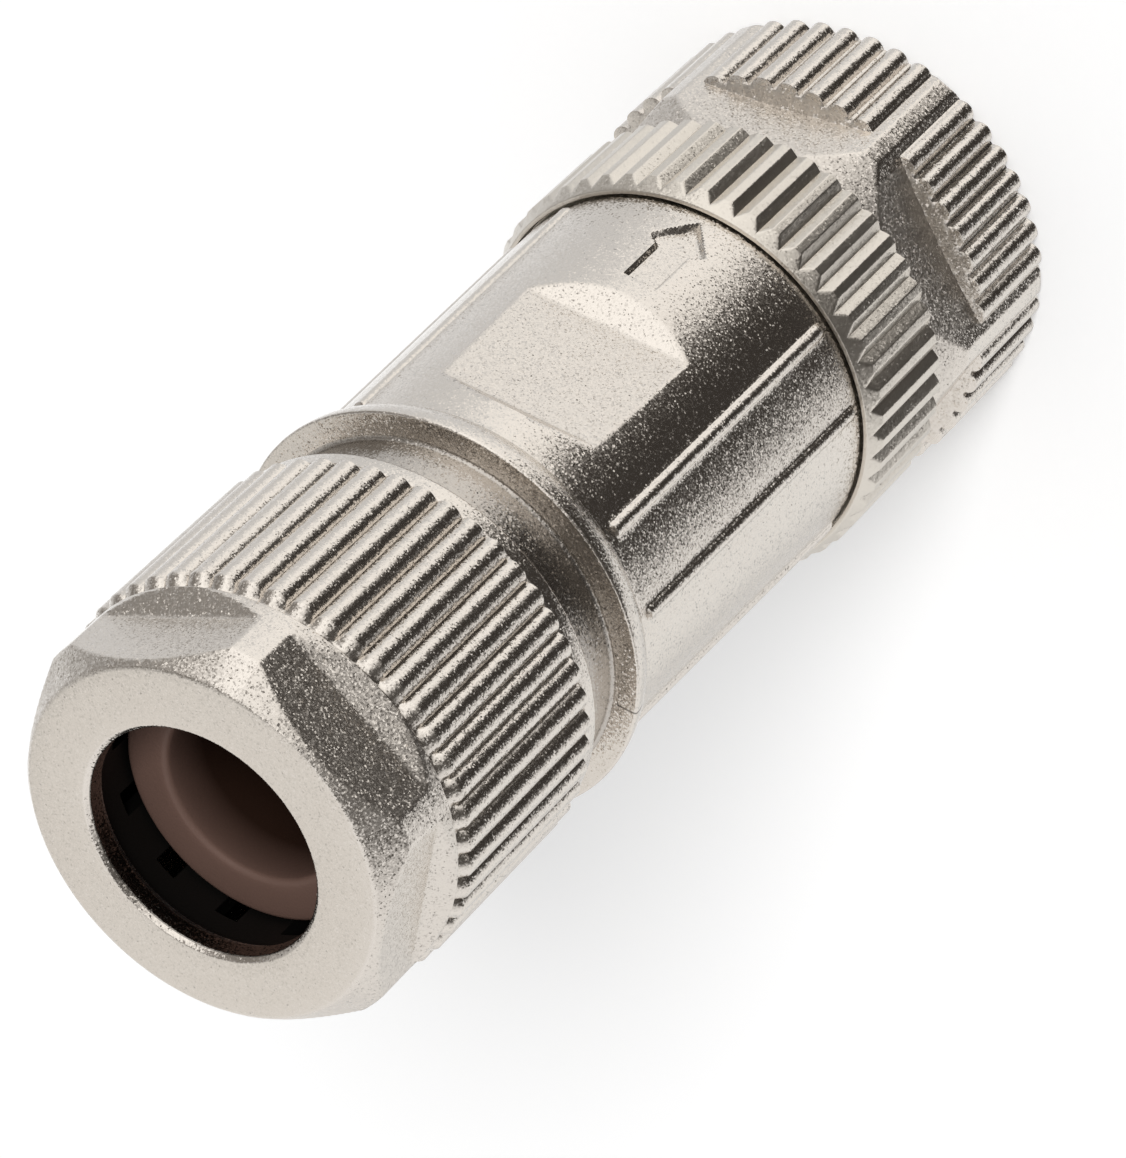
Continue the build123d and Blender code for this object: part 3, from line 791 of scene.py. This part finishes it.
def makeCoupling(s):
    low, high = nodeHeights("coupling_nut")
    corners = [
        (s["mouth"], low, 0.1, 0.8),
        (s["radius"], low, s["edge"], 0.3),
        (s["radius"], low + s["padLength"] - s["padEndRows"], 0, 0.035),
        (s["radius"], low + s["padLength"] + s["padEndRows"], 0, 0.15),
        (s["radius"], high - s["chamfer"], 0.3, 0.12),
        (s["rearRadius"], high, 0.15, 0),
        (s["noseBore"], high, 0.1, 0),
        (s["noseBore"], high - s["ringEnd"], 0, 0),
        (s["ringBore"], high - s["ringEnd"], 0, 0),
        (s["ringBore"], low + s["threadEnd"], 0, 0),
        (s["bore"], low + s["threadEnd"], 0, 0.11),
        (s["bore"], low + s["mouthDepth"], 0.05, 0.2),
    ]
    padHigh = low + s["padLength"]
    steps = [
        ("flats", {
            "Count": 6, "Turn": towards(s["turn"]), "Distance": s["flat"] * mm, "Low": -noEnd,
            "High": noEnd, "Low ramp": 1, "High ramp": 1, "Rounding": s["flatEdge"] * mm,
        }),
        # one wide round pad on each flat, then the ribs on it
        ("ribs", {
            "Count": 6, "Turn": towards(s["turn"]), "Centre": 0, "Radius": s["padRoot"] * mm,
            "Low": -noEnd, "High": (padHigh - s["padSink"]) * mm, "Low slope": 0,
            "High slope": s["padSlope"], "Pads": 6, "Pad half": allRound,
            "From radius": s["padFrom"] * mm, "Limit": s["padLimit"] * mm,
            "Rounding": s["padEdge"] * mm,
        }),
        ("ribs", {
            "Count": s["ribPlaces"], "Turn": towards(s["turn"]),
            "Centre": (s["radius"] - s["ribRadius"]) * mm, "Radius": s["ribRadius"] * mm,
            "Low": (low + s["ribFoot"]) * mm, "High": (padHigh - s["ribSink"]) * mm,
            "Low slope": s["ribLowSlope"], "High slope": s["padSlope"], "Pads": 6,
            "Pad half": radians(s["padPitch"] * (s["padRibs"] / 2 - s["halfGap"])),
            "From radius": s["ribFrom"] * mm, "Limit": (s["radius"] - s["ribTrim"]) * mm,
            "Rounding": s["ribEdge"] * mm,
        }),
        threadStep(
            s["bore"], s["threadDepth"],
            low + s["mouthDepth"] - s["threadOver"], low + s["threadEnd"] + s["threadOver"],
        ),
    ]

    def coarse(x, y, z, radius):
        # the flats behind the pads
        inside = radius < (s["padRoot"] + s["coarseOver"]) * mm
        return (z > (padHigh - s["coarseFrom"]) * mm) * inside * (radius > s["padFrom"] * mm)

    metal = nickel("couplingNickel", castFinish, coarse)
    angles = evenAngles(s["around"], towards(s["turn"]))
    mesh = turnedMesh("couplingNut", roundedProfile(corners), angles)
    piece = shapedPiece("couplingNut", mesh, steps, metal)
    fit(piece, "coupling_nut", "coupling")


makeCoupling(coupling)
print("coupling nut made")


# Rubber seal under the gland nut
seal = {"radius": 6.3, "bore": 4.25, "edge": 0.4, "around": 180}


def makeSeal(s):
    low, high = nodeHeights("gland_seal")
    corners = [
        (s["radius"], low, s["edge"], 0),
        (s["radius"], high, 0.25, 0.25),
        (s["bore"], high, 0.3, 0.5),
        (s["bore"], low, 0.2, 0.5),
    ]
    mesh = turnedMesh("glandSeal", roundedProfile(corners), evenAngles(s["around"]))
    piece = shapedPiece("glandSeal", mesh, [], sealRubber)
    fit(piece, "gland_seal", "clamp")


makeSeal(seal)
print("seal made")

# Inner pieces that keep their solids
finishes = {
    "clamping_cage": blackPlastic, "contact_insert": blackPlastic, "spacer_sleeve": blackPlastic,
    "thrust_washer": springSteel, "retaining_ring": springSteel, "shield_cup": turnedNickel,
    "shield_ring": turnedNickel, "mating_o_ring": ringRubber, "housing_o_ring": ringRubber,
}
for number in range(1, 5):
    finishes[f"socket_contact_{number}"] = giltBrass
    finishes[f"terminal_screw_{number}"] = springSteel
for node, material in finishes.items():
    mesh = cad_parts[node].data
    mesh.materials.clear()
    mesh.materials.append(material)
print("inner pieces finished")

# Studio. The connector was lit lying on its side, so the room that its metal mirrors
# is turned the same way: the stops go round its axis, in degrees from straight over the table
studio = {
    "tableUp": -81.4,
    "room": (
        (-180, (0.66, 0.65, 0.64)), (-160, (0.84, 0.84, 0.83)), (-140, (0.98, 0.98, 0.97)),
        (-112, (0.90, 0.89, 0.88)), (-101, (0.55, 0.54, 0.53)), (-92, (0.10, 0.095, 0.09)),
        (-80, (0.045, 0.04, 0.036)), (-40, (0.04, 0.035, 0.031)), (-26, (0.12, 0.11, 0.10)),
        (-14, (1.02, 0.995, 0.96)), (4, (1.16, 1.135, 1.1)), (20, (1.06, 1.045, 1.02)),
        (42, (0.76, 0.76, 0.76)), (66, (0.68, 0.68, 0.68)), (86, (0.78, 0.78, 0.79)),
        (112, (0.98, 0.99, 1.0)), (136, (1.3, 1.31, 1.33)), (160, (1.0, 1.0, 1.0)),
        (180, (0.66, 0.65, 0.64)),
    ),
    "upperRoom": (
        (-180, (0.92, 0.91, 0.90)), (-150, (0.98, 0.97, 0.96)), (-120, (0.85, 0.84, 0.83)),
        (-104, (0.40, 0.39, 0.38)), (-94, (0.09, 0.083, 0.076)), (-62, (0.07, 0.064, 0.058)),
        (-50, (0.15, 0.14, 0.13)), (-38, (0.62, 0.60, 0.58)), (-22, (0.98, 0.96, 0.93)),
        (14, (1.36, 1.34, 1.31)), (30, (0.82, 0.80, 0.78)), (46, (0.27, 0.25, 0.23)),
        (70, (0.20, 0.185, 0.17)), (92, (0.42, 0.41, 0.40)), (116, (0.64, 0.63, 0.61)),
        (145, (0.84, 0.82, 0.79)), (180, (0.92, 0.91, 0.90)),
    ),
    "upperFrom": -0.4, "upperBlend": 0.6,  # heights over which the upper room takes over
    "plainLevel": 0.6, "floorSize": 4.0, "floorColour": (0.92, 0.92, 0.92, 1), "floorGlow": 0.17,
    "sun": (-0.17, -0.62, 0.62), "sunStrength": 1.6, "sunAngle": 20,
}


white = (1, 1, 1, 1)


def ray(tree, label):
    return tree.add("ShaderNodeLightPath", output=label)


def makeFloor(s):
    # seen from above alone, and not mirrored in the metal
    half = s["floorSize"] / 2
    corners = [(-half, -half, 0), (half, -half, 0), (half, half, 0), (-half, half, 0)]
    mesh = bpy.data.meshes.new("floor")
    mesh.from_pydata(corners, [], [(0, 1, 2, 3)])
    floor = bpy.data.objects.new("floor", mesh)
    bpy.context.scene.collection.objects.link(floor)
    material, tree = newMaterial("paleFloor")
    matte = tree.add("ShaderNodeBsdfDiffuse", values={"Color": s["floorColour"]})
    glow = tree.add("ShaderNodeEmission", values={"Color": white, "Strength": s["floorGlow"]})
    both = tree.add("ShaderNodeAddShader", values=[matte, glow])
    seen = tree.add("ShaderNodeMixShader", values=[ray(tree, "Is Camera Ray"), matte, both])
    clear = tree.add("ShaderNodeBsdfTransparent", values={"Color": white})
    below = tree.add("ShaderNodeNewGeometry", output="Backfacing")
    hidden = ray(tree, "Is Glossy Ray").math("MAXIMUM", below)
    mixed = tree.add("ShaderNodeMixShader", values=[hidden, seen, clear])
    mesh.materials.append(closeMaterial(material, tree, mixed))


makeFloor(studio)


def makeWorld(s):
    world = bpy.data.worlds.new("studio")
    bpy.context.scene.world = world
    world.use_nodes = True
    world.node_tree.nodes.clear()
    tree = Tree(world.node_tree)
    x, y, z = tree.split(tree.add("ShaderNodeTexCoord", output="Generated"))  # where a ray goes
    around = (y.math("ARCTAN2", x) - radians(s["tableUp"])).math("WRAP", pi, -pi) / (2 * pi) + 0.5
    halves = []
    for name in ("room", "upperRoom"):
        stops = [(angle / 360 + 0.5, colour) for angle, colour in s[name]]
        halves.append(tree.add("ShaderNodeValToRGB", {"stops": stops}, [around]))
    room = mixColour(tree, ((z - s["upperFrom"]) / s["upperBlend"]).clip(), *halves)
    level = s["plainLevel"]
    lit = mixColour(tree, ray(tree, "Is Glossy Ray"), (level, level, level, 1), room)
    shown = mixColour(tree, ray(tree, "Is Camera Ray"), lit, white)
    background = tree.add("ShaderNodeBackground", values={"Color": shown, "Strength": 1.0})
    tree.close("ShaderNodeOutputWorld", "Surface", background)


makeWorld(studio)


def makeSun(s):
    light = bpy.data.lights.new("softSun", "SUN")
    light.energy = s["sunStrength"]
    light.angle = radians(s["sunAngle"])
    lamp = bpy.data.objects.new("softSun", light)
    lamp.location = s["sun"]
    lamp.rotation_euler = (-Vector(s["sun"])).to_track_quat("-Z", "Y").to_euler()
    lamp.visible_glossy = False  # the metal mirrors the room alone
    bpy.context.scene.collection.objects.link(lamp)


makeSun(studio)

# Camera, fitted to the circles of the connector
cameraPlace = {
    "location": (-86.851, -168.828, 212.580), "forward": (0.32028, 0.64512, -0.69371),
    "up": (0.41939, -0.75317, -0.50679), "lens": 186.6, "sensor": 36, "nearest": 0.01,
}


def makeCamera(s):
    camera = bpy.data.cameras.new("camera")
    camera.sensor_fit = "VERTICAL"
    camera.sensor_height = s["sensor"]
    camera.lens = s["lens"]
    camera.clip_start = s["nearest"]
    eye = bpy.data.objects.new("camera", camera)
    backward = -Vector(s["forward"]).normalized()
    right = Vector(s["up"]).cross(backward).normalized()
    up = backward.cross(right)
    turn = Matrix((right, up, backward)).transposed().to_4x4()
    eye.matrix_world = Matrix.Translation(Vector(s["location"]) * mm) @ turn
    bpy.context.scene.collection.objects.link(eye)
    bpy.context.scene.camera = eye


makeCamera(cameraPlace)
bpy.context.scene.view_settings.view_transform = "Standard"
print("floor, lights and camera made")
